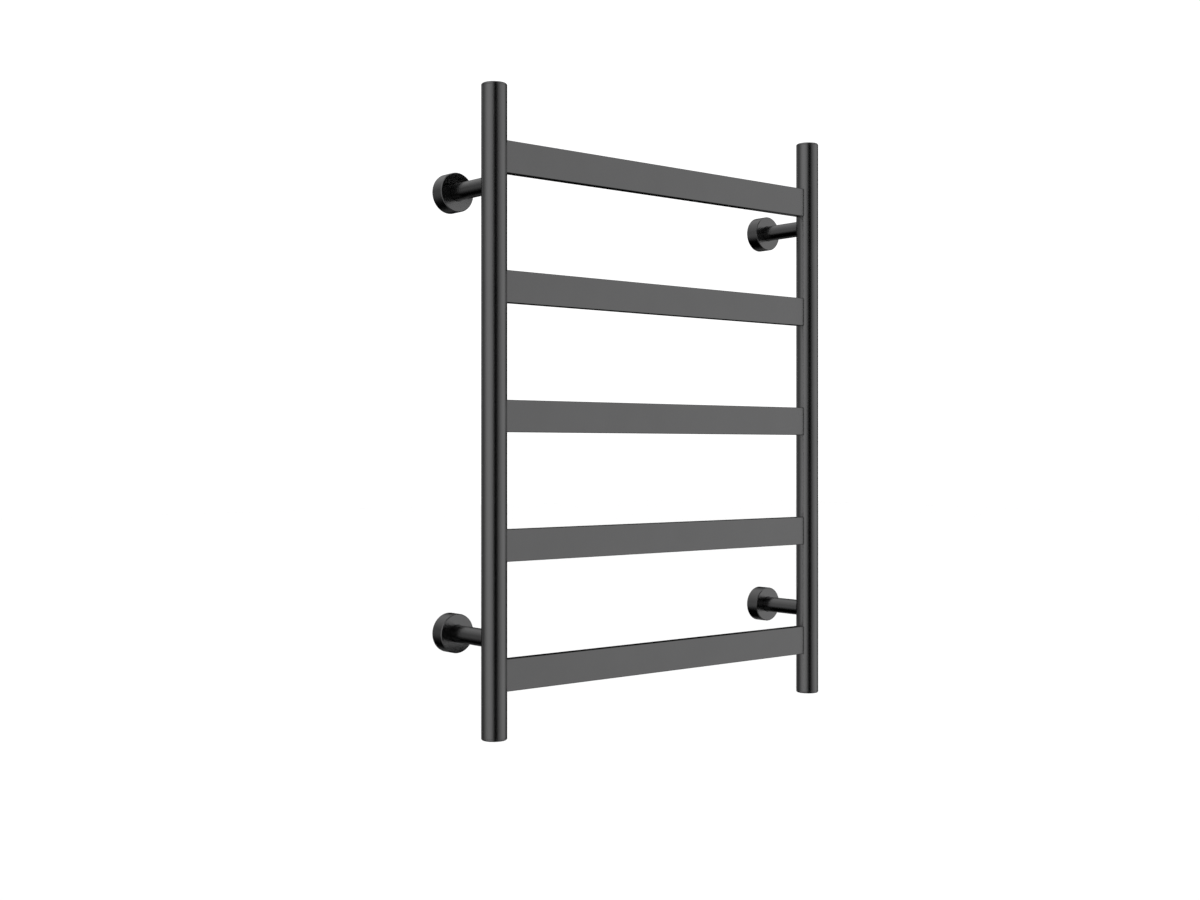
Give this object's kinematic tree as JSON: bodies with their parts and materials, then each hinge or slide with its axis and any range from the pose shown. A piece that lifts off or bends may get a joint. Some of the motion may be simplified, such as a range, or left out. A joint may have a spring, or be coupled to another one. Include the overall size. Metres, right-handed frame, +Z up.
{
  "type": "towel warmer rack",
  "caption": "Wall-hung electric towel warmer: round uprights joined by flat crossbars, held off the wall by round posts with sliding cover flanges, with concealed wiring.",
  "frame": {"origin": "on the wall plane, in the middle of the four wall fixings", "axes": "+X to the right of a person facing the rack, +Y into the wall, +Z up"},
  "size_m": [0.618, 0.115, 0.806],
  "materials": {
    "graphite_metal": "satin graphite coating with a fine grain",
    "bracket_steel": "turned and brushed",
    "screw_steel": "zinc plated",
    "black_rubber": "matte",
    "red_silicone": "smooth silicone",
    "white_silicone": "smooth silicone",
    "lead_sheath": "smooth sheath",
    "potting_plastic": "matte",
    "connector_plastic": "matte",
    "earth_insulation": "smooth",
    "terminal_brass": "tinned brass"
  },
  "bodies": {
    "root": {"upright_left": "graphite_metal", "upright_right": "graphite_metal", "end_cap_top_left": "graphite_metal", "end_cap_top_right": "graphite_metal", "end_cap_bottom_left": "graphite_metal", "end_cap_bottom_right": "graphite_metal", "crossbar_1": "graphite_metal", "crossbar_2": "graphite_metal", "crossbar_3": "graphite_metal", "crossbar_4": "graphite_metal", "crossbar_5": "graphite_metal", "post_upper_left": "graphite_metal", "post_upper_right": "graphite_metal", "post_lower_left": "graphite_metal", "post_lower_right": "graphite_metal", "wall_bracket_upper_left": "bracket_steel", "wall_bracket_upper_right": "bracket_steel", "wall_bracket_lower_left": "bracket_steel", "wall_bracket_lower_right": "bracket_steel", "heating_cable": "red_silicone", "heating_cable_end_seal": "red_silicone", "heating_cable_spacers": "white_silicone", "supply_lead": "lead_sheath", "splice_sleeve": "lead_sheath", "thermal_cutout": "potting_plastic", "supply_connector": "connector_plastic", "earth_wire": "earth_insulation", "earth_terminal": "terminal_brass", "earth_screw": "screw_steel", "cable_grommet": "black_rubber", "grub_screws": "screw_steel"},
    "cover_upper_left_slider": {"cover_upper_left": "graphite_metal", "grip_ring_upper_left": "black_rubber"},
    "cover_upper_right_slider": {"cover_upper_right": "graphite_metal", "grip_ring_upper_right": "black_rubber"},
    "cover_lower_left_slider": {"cover_lower_left": "graphite_metal", "grip_ring_lower_left": "black_rubber"},
    "cover_lower_right_slider": {"cover_lower_right": "graphite_metal", "grip_ring_lower_right": "black_rubber"}
  },
  "joints": [
    {"name": "cover_upper_left_slide", "type": "slide", "parent": "root", "child": "cover_upper_left_slider", "axis": [0, -1, 0], "range_m": [0, 0.062]},
    {"name": "cover_upper_right_slide", "type": "slide", "parent": "root", "child": "cover_upper_right_slider", "axis": [0, -1, 0], "range_m": [0, 0.062]},
    {"name": "cover_lower_left_slide", "type": "slide", "parent": "root", "child": "cover_lower_left_slider", "axis": [0, -1, 0], "range_m": [0, 0.062]},
    {"name": "cover_lower_right_slide", "type": "slide", "parent": "root", "child": "cover_lower_right_slider", "axis": [0, -1, 0], "range_m": [0, 0.062]}
  ]
}
